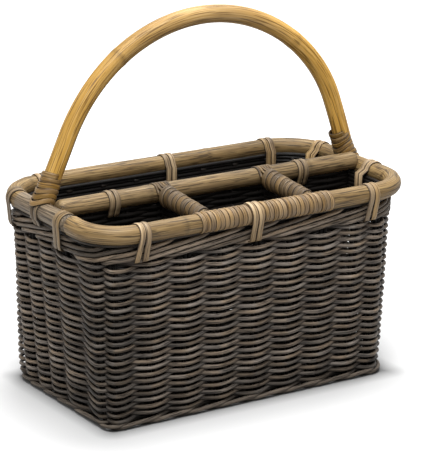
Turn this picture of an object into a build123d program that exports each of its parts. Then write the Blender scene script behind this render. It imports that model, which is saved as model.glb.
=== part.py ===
"""A woven rattan utensil caddy: pole rim, four bays, hoop handle and real interlaced weaving.

Millimetres, +Z up, the floor at Z = 0. The caddy's long side runs along X and its front faces -Y.
"""

import os
from math import acos, atan2, cos, hypot, pi, sin, sqrt

from build123d import *

# Rim, rails and handle: bent and straight rattan poles, measured on their centrelines
rim_length = 324.0
rim_width = 172.0
rim_height = 175.0
rim_corner_radius = 44.0
rim_joint_from_middle = 34.0
pole_diameter = 16.0
middle_rail_setback = 6.0
middle_rail_rise = 5.0
divider_spread = 108.0
divider_diameter = 14.4
handle_radius = 148.0
handle_height = 327.0
handle_offset = 10.3

# Woven wall: its outside at the floor, and how far its middle lies inside the rim's centreline
base_length = 300.0
base_width = 169.0
base_corner_radius = 20.0
wall_inset = 3.5

# Stakes in pairs, and the flat weavers that pass in front of and behind them
stake_diameter = 3.8
stake_pair_spacing = 3.5
weaver_thickness = 2.4
weave_ease = 1.2
course_gap = 0.4
front_stakes = 7
front_stake_spread = 213.0
side_stakes = 4
side_stake_spread = 75.0
wall_courses = 12

# Thicker courses under the rim and round the foot
top_wale_height = 16.0
top_wale_courses = 4
base_wale_height = 13.0
base_wale_courses = 3
wale_thickness = 3.0
lashing_slot = 1.8

# Partitions under the rails
middle_stakes = 8
middle_stake_spread = 252.0
divider_stakes = 2
divider_stake_spacing = 24.0
partition_courses = 10
partition_band_height = 16.0
partition_band_courses = 2

# Woven base
base_sticks = 7
base_stick_diameter = 5.0
base_stick_spread = 126.0
base_floor_height = 8.2
base_weavers = 12
base_weaver_thickness = 1.6

# Cane: flat strip wound round poles and tied in doubled lashings
cane_thickness = 1.2
cane_width = 5.4
rim_wrap_turns = 22
wrap_pitch = 6.1
foot_wrap_length = 30.0
foot_wrap_flare = 0.6
lashing_width = 5.0
lashing_gap = 0.7
lashing_spread = 242.0
lashing_past_stake = 10.4
side_lashing_spread = 52.4

# Fits
clearance = 0.3
overrun = 5.0

pole_radius = pole_diameter / 2
divider_radius = divider_diameter / 2
rim_half_length = rim_length / 2
rim_half_width = rim_width / 2
middle_rail_y = -middle_rail_setback
middle_rail_height = rim_height + middle_rail_rise
handle_centre_height = handle_height - handle_radius
weave_swing = (stake_diameter + weaver_thickness) / 2 + clearance + weave_ease
wall_half_thickness = weave_swing + weaver_thickness / 2
wale_reach = (stake_diameter + wale_thickness) / 2 + clearance + weave_ease
wale_half_thickness = wale_reach + wale_thickness / 2
weave_bottom = base_wale_height + course_gap
seat_radius = pole_radius + clearance
wrapped_radius = seat_radius + cane_thickness
wrapped_seat_radius = wrapped_radius + clearance
wall_top = rim_height - wrapped_seat_radius
weave_top = wall_top - top_wale_height - lashing_slot
base_swing = (base_stick_diameter + base_weaver_thickness) / 2 + clearance
floor_top = base_floor_height + base_swing + base_weaver_thickness / 2

os.makedirs("parts", exist_ok=True)


def save(piece, label):
    """Label a finished piece and write it under the same name."""
    piece.part.label = label
    export_step(piece.part, f"parts/{label}.step")


# Wall stations: the places of the stakes, in order round the basket from the front left corner


def wall_at(height):
    """Half length, half width and corner radius of the wall's middle surface at a height."""
    share = height / wall_top
    foot_length = base_length / 2 - wale_half_thickness
    foot_width = base_width / 2 - wale_half_thickness
    foot_radius = base_corner_radius - wale_half_thickness
    half_length = foot_length + (rim_half_length - wall_inset - foot_length) * share
    half_width = foot_width + (rim_half_width - wall_inset - foot_width) * share
    radius = foot_radius + (rim_corner_radius - wall_inset - foot_radius) * share
    return half_length, half_width, radius


def spread_shares(count, spread, whole):
    """Evenly spaced places across a spread, as shares of half the whole."""
    step = spread / (count - 1)
    return [(number * step - spread / 2) / (whole / 2) for number in range(count)]


front_shares = spread_shares(front_stakes, front_stake_spread, rim_length)
side_shares = spread_shares(side_stakes, side_stake_spread, rim_width)
stations = [("front", share) for share in front_shares] + [("corner", (1, -1))]
stations += [("right", share) for share in side_shares] + [("corner", (1, 1))]
stations += [("back", -share) for share in front_shares] + [("corner", (-1, 1))]
stations += [("left", -share) for share in side_shares] + [("corner", (-1, -1))]


def station_at(number, height):
    """Where a stake station crosses a height, and the outward direction there."""
    half_length, half_width, radius = wall_at(height)
    side, place = stations[number % len(stations)]
    if side == "front":
        return Vector(place * half_length, -half_width), Vector(0, -1)
    if side == "back":
        return Vector(place * half_length, half_width), Vector(0, 1)
    if side == "right":
        return Vector(half_length, place * half_width), Vector(1, 0)
    if side == "left":
        return Vector(-half_length, place * half_width), Vector(-1, 0)
    inset = radius * (1 - sqrt(1 / 2))
    point = Vector(place[0] * (half_length - inset), place[1] * (half_width - inset))
    return point, Vector(*place).normalized()


# A run is a stretch of neighbouring stations: four straight walls and four corners
front_run = list(range(front_stakes))
right_run = list(range(front_stakes + 1, front_stakes + 1 + side_stakes))
half_round = front_stakes + side_stakes + 2
back_run = [number + half_round for number in front_run]
left_run = [number + half_round for number in right_run]
front_right_run = [front_run[-1], front_run[-1] + 1, right_run[0]]
back_right_run = [right_run[-1], right_run[-1] + 1, back_run[0]]
back_left_run = [back_run[-1], back_run[-1] + 1, left_run[0]]
front_left_run = [left_run[-1], left_run[-1] + 1, left_run[-1] + 2]
runs = {
    "front": front_run,
    "front_right_corner": front_right_run,
    "right": right_run,
    "back_right_corner": back_right_run,
    "back": back_run,
    "back_left_corner": back_left_run,
    "left": left_run,
    "front_left_corner": front_left_run,
}


def band_outline(points, outwards, swings, thickness):
    """Closed outline of a flat band that swings to either side of a line of points."""
    half = thickness / 2
    outer = [point + out * (swing + half) for point, out, swing in zip(points, outwards, swings)]
    inner = [point + out * (swing - half) for point, out, swing in zip(points, outwards, swings)]
    return [(point.X, point.Y) for point in outer + inner[::-1]]


def plain_swing(number, course):
    """Plain weave: in front of one stake and behind the next, the other way on the next course."""
    return weave_swing if (number + course) % 2 == 0 else -weave_swing


def wale_swing(number, course):
    """Wale: in front of two stakes and behind one, one stake further on each course."""
    return -wale_reach if (number + course) % 3 == 0 else wale_reach


def weave(stretches, bottom, top, courses, thickness, swing):
    """Weave the courses of some stretches of wall between two heights, each as a strip of its own."""
    pitch = (top - bottom) / courses
    with BuildPart() as weavers:
        for run in stretches:
            for course in range(courses):
                low = bottom + course * pitch
                places = [station_at(number, low + pitch / 2) for number in run]
                points = [point for point, out in places]
                outwards = [out for point, out in places]
                swings = [swing(number % len(stations), course) for number in run]
                points[0] += (points[1] - points[0]).normalized() * (clearance / 2)
                points[-1] += (points[-2] - points[-1]).normalized() * (clearance / 2)
                with BuildSketch(Plane.XY.offset(low)):
                    Polygon(*band_outline(points, outwards, swings, thickness), align=None)
        extrude(amount=pitch - course_gap)
    return weavers


# Rim pole: bent round the top, its ends butted on the left side behind the front corner
with BuildPart() as rim_pole:
    with BuildLine(Plane.XY.offset(rim_height)) as rim_path:
        FilletPolyline(
            (-rim_half_length, -rim_joint_from_middle),
            (-rim_half_length, -rim_half_width),
            (rim_half_length, -rim_half_width),
            (rim_half_length, rim_half_width),
            (-rim_half_length, rim_half_width),
            (-rim_half_length, -rim_joint_from_middle + clearance),
            radius=rim_corner_radius,
        )
    with BuildSketch(Plane(origin=rim_path.line @ 0, z_dir=rim_path.line % 0)):
        Circle(pole_radius)
    sweep()
save(rim_pole, "rim_pole")

# Middle rail: from short side to short side, its ends cut to saddle on the rim
with BuildPart() as middle_rail:
    with BuildSketch(Plane.YZ.offset(-rim_half_length)):
        with Locations((middle_rail_y, middle_rail_height)):
            Circle(pole_radius)
    extrude(amount=rim_length)
    for side in (-1, 1):
        with BuildSketch(Plane.XZ.offset(-middle_rail_y - pole_diameter)):
            with Locations((side * rim_half_length, rim_height)):
                Circle(seat_radius)
        extrude(amount=2 * pole_diameter, mode=Mode.SUBTRACT)
        with BuildSketch(Plane.XY.offset(rim_height)):
            with Locations((side * rim_half_length, middle_rail_y)):
                Rectangle(pole_radius, 2 * pole_diameter)
        extrude(amount=pole_diameter, mode=Mode.SUBTRACT)
save(middle_rail, "middle_rail")

# Divider rails: short poles from the wrapped front rim up to the middle rail
divider_foot = Vector(0, -rim_half_width, rim_height)
divider_head = Vector(0, middle_rail_y, middle_rail_height)
divider_along = (divider_head - divider_foot).normalized()
divider_length = (divider_head - divider_foot).length

for name, side in (("left", -1), ("right", 1)):
    at_x = Vector(side * divider_spread / 2, 0, 0)
    with BuildPart() as divider_rail:
        with BuildSketch(Plane(origin=divider_foot + at_x, x_dir=(1, 0, 0), z_dir=divider_along)):
            Circle(divider_radius)
        extrude(amount=divider_length)
        with BuildSketch(Plane.YZ.offset(at_x.X - pole_diameter)):
            with Locations((divider_foot.Y, divider_foot.Z)):
                Circle(wrapped_seat_radius)
            with Locations((divider_head.Y, divider_head.Z)):
                Circle(seat_radius)
        extrude(amount=2 * pole_diameter, mode=Mode.SUBTRACT)
    save(divider_rail, f"{name}_divider_rail")

# Handle: a hoop with straight legs that lean out to saddle-cut feet on the rim
foot_drop = handle_centre_height - rim_height
foot_reach = hypot(rim_half_length, foot_drop)
leg_angle = acos(handle_radius / foot_reach) - atan2(foot_drop, rim_half_length)
leg_top = Vector(
    handle_radius * cos(leg_angle),
    handle_offset,
    handle_centre_height + handle_radius * sin(leg_angle),
)
leg_foot = Vector(rim_half_length, handle_offset, rim_height)
left_foot = Vector(-leg_foot.X, leg_foot.Y, leg_foot.Z)
leg_up = (leg_top - leg_foot).normalized()

with BuildPart() as handle:
    with BuildLine() as handle_path:
        Line(leg_foot, leg_top)
        ThreePointArc(leg_top, (0, handle_offset, handle_height), (-leg_top.X, leg_top.Y, leg_top.Z))
        Line((-leg_top.X, leg_top.Y, leg_top.Z), left_foot)
    with BuildSketch(Plane(origin=leg_foot, z_dir=leg_up)):
        Circle(pole_radius)
    sweep()
    for side in (-1, 1):
        with BuildSketch(Plane.XZ.offset(-handle_offset - pole_diameter)):
            with Locations((side * rim_half_length, rim_height)):
                Circle(seat_radius)
        extrude(amount=2 * pole_diameter, mode=Mode.SUBTRACT)
        with BuildSketch(Plane.XZ.offset(-handle_offset - pole_diameter)):
            with Locations((side * rim_half_length, rim_height - pole_radius)):
                Rectangle(2 * pole_diameter, pole_diameter)
        extrude(amount=2 * pole_diameter, mode=Mode.SUBTRACT)
save(handle, "handle")


# Cane windings: one unbroken flat strip each, laid turn beside turn on its pole


def winding_point(plane, radius, angle):
    """A point of the winding and its direction there."""
    rise = wrap_pitch / (2 * pi)
    local = Vector(radius * cos(angle), radius * sin(angle), rise * angle)
    turning = Vector(-radius * sin(angle), radius * cos(angle), rise)
    point = plane.from_local_coords(local)
    along = plane.from_local_coords(turning) - plane.origin
    return point, along.normalized()


def biarc_middle(start, start_along, end, end_along):
    """Where the two arcs of a biarc meet, and their common direction there."""
    span = end - start
    both = start_along + end_along
    bend = 2 * (1 - start_along.dot(end_along))
    reach = (sqrt(span.dot(both) ** 2 + bend * span.dot(span)) - span.dot(both)) / bend
    first = start + start_along * reach
    last = end - end_along * reach
    return (first + last) / 2, (last - first).normalized()


def least_gap(points, per_turn):
    """Least clear gap between one turn and the next, measured on points along the strip."""
    pairs = zip(points, points[per_turn:])
    return min((after - before).length for before, after in pairs) - cane_width


def wind(plane, radius, turns, label):
    """Wind a cane strip round a plane's Z axis, from its origin, and write it."""
    half_turns = [number * pi for number in range(2 * turns + 1)]
    places = [winding_point(plane, radius, angle) for angle in half_turns]
    lead = cane_width * wrap_pitch / hypot(2 * pi * radius, wrap_pitch)
    axis = Edge.make_line(
        plane.origin - plane.z_dir * lead,
        plane.origin + plane.z_dir * (turns * wrap_pitch + lead),
    )
    with BuildPart() as winding:
        with BuildLine() as path:
            first, first_along = places[0]
            Line(first - first_along * cane_width, first)
            for (start, start_along), (end, end_along) in zip(places, places[1:]):
                middle, middle_along = biarc_middle(start, start_along, end, end_along)
                TangentArc(start, middle, tangent=start_along)
                TangentArc(middle, end, tangent=middle_along)
            last, last_along = places[-1]
            Line(last, last + last_along * cane_width)
        with BuildSketch(Plane(origin=path.line @ 0, x_dir=plane.z_dir, z_dir=path.line % 0)):
            Rectangle(cane_width, cane_thickness)
        sweep(binormal=axis)
    save(winding, label)
    print(label, "least gap between turns", round(least_gap([point for point, along in places], 2), 2))


wrap_radius = seat_radius + cane_thickness / 2
rim_wrap_start = -rim_wrap_turns * wrap_pitch / 2
wind(
    Plane(origin=(rim_wrap_start, -rim_half_width, rim_height), x_dir=(0, 1, 0), z_dir=(1, 0, 0)),
    wrap_radius,
    rim_wrap_turns,
    "rim_wrap",
)

# Divider wraps: close cane sleeves over the divider rails, cut round the rim's wrap and the middle rail
for name, side in (("left", -1), ("right", 1)):
    at_x = Vector(side * divider_spread / 2, 0, 0)
    with BuildPart() as divider_wrap:
        with BuildSketch(Plane(origin=divider_foot + at_x, x_dir=(1, 0, 0), z_dir=divider_along)):
            Circle(divider_radius + clearance + cane_thickness)
            Circle(divider_radius + clearance, mode=Mode.SUBTRACT)
        extrude(amount=divider_length)
        with BuildSketch(Plane.YZ.offset(at_x.X - pole_diameter)):
            with Locations((divider_foot.Y, divider_foot.Z)):
                Circle(wrapped_seat_radius + clearance)
            with Locations((divider_head.Y, divider_head.Z)):
                Circle(seat_radius + clearance)
            with Locations((divider_head.Y, divider_head.Z - pole_diameter)):
                Rectangle(2 * (wall_half_thickness + clearance), 2 * pole_diameter)
        extrude(amount=2 * pole_diameter, mode=Mode.SUBTRACT)
    save(divider_wrap, f"{name}_divider_wrap")

# Handle wraps: cane sleeves bound round the feet, flared where they spread over the rim
for name, side in (("left", -1), ("right", 1)):
    foot = Vector(side * leg_foot.X, leg_foot.Y, leg_foot.Z)
    up = Vector(side * leg_up.X, leg_up.Y, leg_up.Z)
    foot_plane = Plane(origin=foot, x_dir=(0, 1, 0), z_dir=up)
    with BuildPart() as handle_wrap:
        with BuildSketch(foot_plane):
            Circle(wrapped_radius + foot_wrap_flare)
        with BuildSketch(foot_plane.offset(foot_wrap_length + pole_radius)):
            Circle(wrapped_radius)
        loft()
        with BuildSketch(foot_plane.offset(-overrun)):
            Circle(seat_radius)
        extrude(amount=foot_wrap_length + pole_radius + 2 * overrun, mode=Mode.SUBTRACT)
        with BuildSketch(Plane.XZ.offset(-handle_offset - pole_diameter)):
            with Locations((foot.X, rim_height)):
                Circle(seat_radius)
            with Locations((foot.X, rim_height - pole_diameter)):
                Rectangle(2 * pole_diameter, 2 * pole_diameter)
        extrude(amount=2 * pole_diameter, mode=Mode.SUBTRACT)
        with BuildSketch(Plane.YZ.offset(foot.X - pole_diameter)):
            with Locations((middle_rail_y, middle_rail_height)):
                Circle(seat_radius)
        extrude(amount=2 * pole_diameter, mode=Mode.SUBTRACT)
    save(handle_wrap, f"{name}_handle_wrap")

# Wall stakes: a pair of rods at every station of a wall and one in each corner, from the foot to the rim
half_pair = stake_pair_spacing / 2
stake_groups = {
    "front_stakes": (front_run, (-half_pair, half_pair)),
    "right_stakes": (right_run, (-half_pair, half_pair)),
    "back_stakes": (back_run, (-half_pair, half_pair)),
    "left_stakes": (left_run, (-half_pair, half_pair)),
    "corner_stakes": ([run[1] for name, run in runs.items() if name.endswith("corner")], [0]),
}
stake_foot = base_wale_height / base_wale_courses
for label, (group, shifts) in stake_groups.items():
    with BuildPart() as stakes:
        for number in group:
            foot, out = station_at(number, stake_foot)
            head, out = station_at(number, wall_top)
            low = Vector(foot.X, foot.Y, stake_foot)
            high = Vector(head.X, head.Y, wall_top)
            for shift in shifts:
                beside = Vector(-out.Y, out.X) * shift
                with BuildSketch(Plane(origin=low + beside, x_dir=out, z_dir=high - low)):
                    RegularPolygon(stake_diameter / 2, 6)
                extrude(amount=(high - low).length)
    save(stakes, label)

# Weavers: the plain courses of each wall and corner, where they bend at the corner stake
stretches = {
    name: [run[:2], run[1:]] if name.endswith("corner") else [run] for name, run in runs.items()
}
for name, stretch in stretches.items():
    weavers = weave(stretch, weave_bottom, weave_top, wall_courses, weaver_thickness, plain_swing)
    save(weavers, f"{name}_weavers")

# Wales: thicker courses under the rim and at the foot, where the caddy stands on the lowest one
whole_round = sum(stretches.values(), [])
wale_bottom = wall_top - top_wale_height
top_wale = weave(whole_round, wale_bottom, wall_top, top_wale_courses, wale_thickness, wale_swing)
save(top_wale, "top_wale")
base_wale = weave(whole_round, 0, base_wale_height, base_wale_courses, wale_thickness, wale_swing)
save(base_wale, "base_wale")


# Inside of the wall: how far a straight piece can reach before it meets the weaving


def reach_along_x(y, height):
    """Clear half length inside the wall at a distance y from the middle."""
    run = [right_run[0] - 1] + right_run + [right_run[-1] + 1]
    points = [station_at(number, height)[0] for number in run]
    for low, high in zip(points, points[1:]):
        if low.Y <= y <= high.Y:
            middle = low.X + (high.X - low.X) * (y - low.Y) / (high.Y - low.Y)
            return middle - wale_half_thickness - clearance
    raise ValueError(f"no wall at y = {y}")


def reach_along_y(x, height):
    """Clear half width inside the wall at a distance x from the middle."""
    run = [-1] + front_run + [front_run[-1] + 1]
    points = [station_at(number, height)[0] for number in run]
    for left, right in zip(points, points[1:]):
        if left.X <= x <= right.X:
            middle = left.Y + (right.Y - left.Y) * (x - left.X) / (right.X - left.X)
            return -middle - wale_half_thickness - clearance
    raise ValueError(f"no wall at x = {x}")


# Woven base: long sticks, and cross weavers that pass over and under them
stick_places = [share * base_stick_spread / 2 for share in spread_shares(base_sticks, 2, 2)]
with BuildPart() as base_stick_group:
    for place in stick_places:
        reach = reach_along_x(place, base_floor_height)
        with BuildSketch(Plane.YZ.offset(-reach)):
            with Locations((place, base_floor_height)):
                RegularPolygon(base_stick_diameter / 2, 6)
        extrude(amount=2 * reach)
save(base_stick_group, "base_sticks")

base_weave_reach = reach_along_x(stick_places[-1], base_floor_height)
base_weaver_pitch = 2 * base_weave_reach / base_weavers
with BuildPart() as base_weaver_group:
    for number in range(base_weavers):
        left = -base_weave_reach + number * base_weaver_pitch
        far = max(abs(left), abs(left + base_weaver_pitch))
        reach = reach_along_y(far, base_floor_height)
        places = [-reach] + stick_places + [reach]
        swings = [base_swing * (-1) ** (number + turn) for turn in range(base_sticks)]
        points = [Vector(place, base_floor_height) for place in places]
        swings = swings[:1] + swings + swings[-1:]
        outline = band_outline(points, [Vector(0, 1)] * len(points), swings, base_weaver_thickness)
        with BuildSketch(Plane.YZ.offset(left)):
            Polygon(*outline, align=None)
    extrude(amount=base_weaver_pitch - course_gap)
save(base_weaver_group, "base_weavers")


# Partitions: stakes in pairs under each rail, with flat weavers between the walls


def partition_heights(rail_underside):
    """Bottoms and heights of a partition's courses: the plain ones, then the band under the rail."""
    bottom = floor_top + clearance
    band_bottom = rail_underside - partition_band_height
    plain_top = band_bottom - lashing_slot
    plain_pitch = (plain_top - bottom) / partition_courses
    band_pitch = partition_band_height / partition_band_courses
    plain = [(bottom + course * plain_pitch, plain_pitch) for course in range(partition_courses)]
    band = [(band_bottom + course * band_pitch, band_pitch) for course in range(partition_band_courses)]
    return plain + band


def weave_partition(courses, ends, places, level_axis, steady):
    """Weave flat courses between two ends, along X or Y, past the stakes' places."""
    along = Vector(1, 0) if level_axis == "x" else Vector(0, 1)
    out = Vector(0, 1) if level_axis == "x" else Vector(1, 0)
    with BuildPart() as weavers:
        for number, (low, pitch) in enumerate(courses):
            start, end = ends(low)
            line = [start] + places + [end]
            swings = [weave_swing * (-1) ** (number + turn) for turn in range(len(places))]
            points = [along * place + out * steady for place in line]
            swings = swings[:1] + swings + swings[-1:]
            outline = band_outline(points, [out] * len(line), swings, weaver_thickness)
            with BuildSketch(Plane.XY.offset(low)):
                Polygon(*outline, align=None)
            extrude(amount=pitch - course_gap)
    return weavers


def stake_pairs(places, beside, height):
    """Upright pairs of stakes from the base to a height."""
    with BuildPart() as stakes:
        with BuildSketch(Plane.XY.offset(floor_top + clearance)):
            for place in places:
                with Locations(place + beside, place - beside):
                    RegularPolygon(stake_diameter / 2, 6)
        extrude(amount=height - floor_top - clearance)
    return stakes


middle_underside = middle_rail_height - pole_radius - clearance
middle_places = [share * middle_stake_spread / 2 for share in spread_shares(middle_stakes, 2, 2)]
middle_points = [Vector(place, middle_rail_y) for place in middle_places]


def middle_ends(low):
    """Ends of a middle partition course at a height."""
    reach = reach_along_x(middle_rail_y, low)
    return -reach, reach


save(stake_pairs(middle_points, Vector(half_pair, 0), middle_underside), "middle_partition_stakes")
middle_courses = partition_heights(middle_underside)
save(
    weave_partition(middle_courses, middle_ends, middle_places, "x", middle_rail_y),
    "middle_partition_weavers",
)

divider_underside = rim_height - divider_radius - 2 * clearance - cane_thickness
divider_back = middle_rail_y - wall_half_thickness - clearance


def divider_ends(low):
    """Ends of a divider partition course at a height."""
    reach = reach_along_y(divider_spread / 2, low)
    return -reach, divider_back


divider_middle = (divider_back - reach_along_y(divider_spread / 2, 0)) / 2
divider_places = [
    divider_middle + divider_stake_spacing * (number - (divider_stakes - 1) / 2)
    for number in range(divider_stakes)
]
divider_courses = partition_heights(divider_underside)
for name, side in (("left", -1), ("right", 1)):
    steady = side * divider_spread / 2
    divider_points = [Vector(steady, place) for place in divider_places]
    stakes = stake_pairs(divider_points, Vector(0, half_pair), divider_underside)
    save(stakes, f"{name}_partition_stakes")
    weavers = weave_partition(divider_courses, divider_ends, divider_places, "y", steady)
    save(weavers, f"{name}_partition_weavers")


# Lashings: doubled cane straps over a pole and under the band of courses below it


def lashing_outline(seat, pole_height, inset, half_wall, bottom):
    """Inside outline of a strap: local X points outwards, local Y up."""
    corner = seat * (sqrt(2) - 1)
    outside = [
        (half_wall - inset, bottom),
        (seat, pole_height - corner),
        (seat, pole_height + corner),
        (corner, pole_height + seat),
    ]
    inside = [(-corner, pole_height + seat)]
    if inset + half_wall < seat:
        inside += [(-seat, pole_height + corner), (-seat, pole_height - corner)]
    else:
        inside += [(-inset - half_wall, pole_height + corner)]
    return outside + inside + [(-inset - half_wall, bottom)]


def lash(places):
    """Tie a doubled strap at each place: a point on the pole, its outward direction and an outline."""
    shift = (lashing_gap + lashing_width) / 2
    with BuildPart() as lashings:
        for origin, out, outline in places:
            across = out.cross(Vector(0, 0, 1))
            for side in (-shift, shift):
                with BuildSketch(Plane(origin=origin + across * side, x_dir=out, z_dir=across)):
                    Polygon(*outline, align=None)
                    offset(amount=cane_thickness, kind=Kind.INTERSECTION)
                    Polygon(*outline, align=None, mode=Mode.SUBTRACT)
        extrude(amount=lashing_width / 2, both=True)
    return lashings


slot_bottom = weave_top + lashing_slot - clearance
wall_gap = wale_half_thickness + clearance
low_length, low_width, low_radius = wall_at(slot_bottom)
side_inset = rim_half_length - low_length
front_inset = rim_half_width - low_width
end_wall = reach_along_y(lashing_spread / 2, slot_bottom) + wale_half_thickness + clearance
end_inset = rim_half_width - end_wall
corner_gap = wall_gap + 2 * lashing_gap
front_outline = lashing_outline(seat_radius, rim_height, front_inset, wall_gap, slot_bottom)
wrap_outline = lashing_outline(wrapped_seat_radius, rim_height, front_inset, wall_gap, slot_bottom)
side_outline = lashing_outline(seat_radius, rim_height, side_inset, wall_gap, slot_bottom)
end_outline = lashing_outline(seat_radius, rim_height, end_inset, corner_gap, slot_bottom)

end_places = (-lashing_spread / 2, lashing_spread / 2)
front_out = Vector(0, -1)
back_out = Vector(0, 1)
front_ties = [(Vector(place, -rim_half_width), front_out, end_outline) for place in end_places]
front_ties += [(Vector(-lashing_past_stake, -rim_half_width), front_out, wrap_outline)]
save(lash(front_ties), "front_lashings")
back_ties = [(Vector(place, rim_half_width), back_out, end_outline) for place in end_places]
back_ties += [(Vector(lashing_past_stake, rim_half_width), back_out, front_outline)]
save(lash(back_ties), "back_lashings")

corner_station, corner_out = station_at(right_run[-1] + 1, slot_bottom)
side_station, side_out = station_at(right_run[-1], slot_bottom)
lash_out = (corner_out + side_out).normalized()
lash_middle = (corner_station + side_station) / 2
rim_corner = Vector(rim_half_length - rim_corner_radius, rim_half_width - rim_corner_radius)
corner_place = rim_corner + lash_out * rim_corner_radius
corner_inset = (corner_place - lash_middle).dot(lash_out)
corner_outline = lashing_outline(seat_radius, rim_height, corner_inset, corner_gap, slot_bottom)
for name, side in (("left", -1), ("right", 1)):
    side_places = (-side_lashing_spread / 2, side_lashing_spread / 2)
    outward = Vector(side, 0)
    side_ties = [(Vector(side * rim_half_length, place), outward, side_outline) for place in side_places]
    corner = Vector(side * corner_place.X, corner_place.Y)
    side_ties += [(corner, Vector(side * lash_out.X, lash_out.Y), corner_outline)]
    save(lash(side_ties), f"{name}_lashings")

rail_slot = middle_underside - partition_band_height - clearance
rail_gap = wall_half_thickness + clearance
rail_outline = lashing_outline(seat_radius, middle_rail_height, 0, rail_gap, rail_slot)
rail_reach = middle_places[-2] + lashing_past_stake
rail_ties = [(Vector(place, middle_rail_y), front_out, rail_outline) for place in (-rail_reach, rail_reach)]
save(lash(rail_ties), "middle_rail_lashings")
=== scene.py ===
# %% [markdown]
# # A woven rattan utensil caddy
# The caddy's solids are loaded as a fixed frame. This lesson dresses them: every weaver, every turn
# of cane and every strap is laid as its own strand, with a finish that follows its grain.

# %% Load the frame
import math
import random

import bmesh
import bpy
import numpy as np
from mathutils import Matrix, Vector


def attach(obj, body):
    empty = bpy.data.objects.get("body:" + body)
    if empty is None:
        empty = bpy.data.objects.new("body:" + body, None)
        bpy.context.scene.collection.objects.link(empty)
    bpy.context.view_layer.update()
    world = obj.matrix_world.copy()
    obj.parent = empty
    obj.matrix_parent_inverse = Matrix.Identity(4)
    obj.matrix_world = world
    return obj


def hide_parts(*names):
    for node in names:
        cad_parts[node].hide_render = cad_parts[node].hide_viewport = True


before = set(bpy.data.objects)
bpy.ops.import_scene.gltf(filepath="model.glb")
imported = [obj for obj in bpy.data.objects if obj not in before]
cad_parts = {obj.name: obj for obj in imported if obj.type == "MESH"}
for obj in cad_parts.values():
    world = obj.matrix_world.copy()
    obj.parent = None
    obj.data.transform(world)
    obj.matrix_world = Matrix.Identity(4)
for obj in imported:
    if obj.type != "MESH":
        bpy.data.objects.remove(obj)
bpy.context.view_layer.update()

scene = bpy.context.scene
scene.view_settings.view_transform = "Standard"
chance = random.Random(11)
print("frame nodes:", len(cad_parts))

# %% [markdown]
# ## Camera
# The picture was taken with a long lens from the front left, a little above the rim. The camera is
# placed by its turn, its rise and its distance from a point inside the caddy, and then rolled by
# about a degree.

# %% Camera
picture_height, focal_pixels = 455, 2447.0
turn, rise, roll = math.radians(-33.9), math.radians(17.1), math.radians(1.1)
aim, camera_distance = Vector((0.0033, -0.0023, 0.1381)), 2.176
towards_camera = Vector((
    math.sin(turn) * math.cos(rise),
    -math.cos(turn) * math.cos(rise),
    math.sin(rise),
))
lens = bpy.data.cameras.new("camera")
lens.lens = focal_pixels / picture_height * lens.sensor_width
camera = bpy.data.objects.new("camera", lens)
scene.collection.objects.link(camera)
camera.location = aim + towards_camera * camera_distance
look = towards_camera.to_track_quat("Z", "Y").to_matrix()
camera.rotation_euler = (look @ Matrix.Rotation(roll, 3, "Z")).to_euler()
scene.camera = camera
print("lens", round(lens.lens, 1), "mm")

# %% [markdown]
# ## Shader nodes
# Room, paper and finishes are small trees of shader nodes. One helper adds a node, sets it up and
# joins its inputs.

# %% Node helpers


def wire(tree, made, inputs):
    """Put values or links on the inputs of a shader node."""
    for socket, value in inputs.items():
        if isinstance(value, bpy.types.NodeSocket):
            tree.links.new(value, made.inputs[socket])
        else:
            made.inputs[socket].default_value = value


def node(tree, kind, inputs, **settings):
    """Add a shader node with its settings and inputs."""
    made = tree.nodes.new("ShaderNode" + kind)
    for label, value in settings.items():
        setattr(made, label, value)
    wire(tree, made, inputs)
    return made


def grey(level):
    """A colour without a hue."""
    return (level, level, level, 1.0)


# %% [markdown]
# ## Light and floor
# One broad lamp hangs above, a slightly weaker one at the front left, and all round is white. What
# the camera sees of the room is pure white; what lights the caddy is dimmer.

# %% Light and floor
room_light, backdrop_light = 0.170, 1.0
lamp_aim = Vector((0.0, 0.0, 0.1))


def shows_backdrop(tree):
    """One for rays that show the backdrop: seen straight, mirrored or through something clear."""
    path = node(tree, "LightPath", {}).outputs
    value = path["Is Camera Ray"]
    for label in ("Is Glossy Ray", "Is Transmission Ray"):
        value = node(tree, "Math", {0: value, 1: path[label]}, operation="MAXIMUM").outputs[0]
    return value


def soft_lamp(name, place, size, power):
    """A square soft lamp that faces the caddy."""
    lamp = bpy.data.lights.new(name, "AREA")
    lamp.shape, lamp.size, lamp.energy = "SQUARE", size, power
    holder = bpy.data.objects.new(name, lamp)
    scene.collection.objects.link(holder)
    holder.location = place
    holder.rotation_euler = (Vector(place) - lamp_aim).to_track_quat("Z", "Y").to_euler()


world = bpy.data.worlds.new("white_room")
scene.world = world
world.use_nodes = True
tree = world.node_tree
tree.nodes.clear()
room, backdrop = (
    node(tree, "Background", {"Color": grey(1.0), "Strength": strength}).outputs[0]
    for strength in (room_light, backdrop_light)
)
choose = node(tree, "MixShader", {0: shows_backdrop(tree), 1: room, 2: backdrop})
node(tree, "OutputWorld", {"Surface": choose.outputs[0]})
soft_lamp("top_lamp", (0.30, 0.26, 1.45), 0.9, 22.0)
soft_lamp("front_lamp", (-0.46, -0.58, 1.28), 0.7, 19.0)

floor_mesh = bpy.data.meshes.new("floor")
shape = bmesh.new()
bmesh.ops.create_grid(shape, x_segments=1, y_segments=1, size=6.0)
shape.to_mesh(floor_mesh)
shape.free()
floor = bpy.data.objects.new("floor", floor_mesh)
scene.collection.objects.link(floor)
print("lamps:", [lamp.name for lamp in bpy.data.lights])
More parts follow.
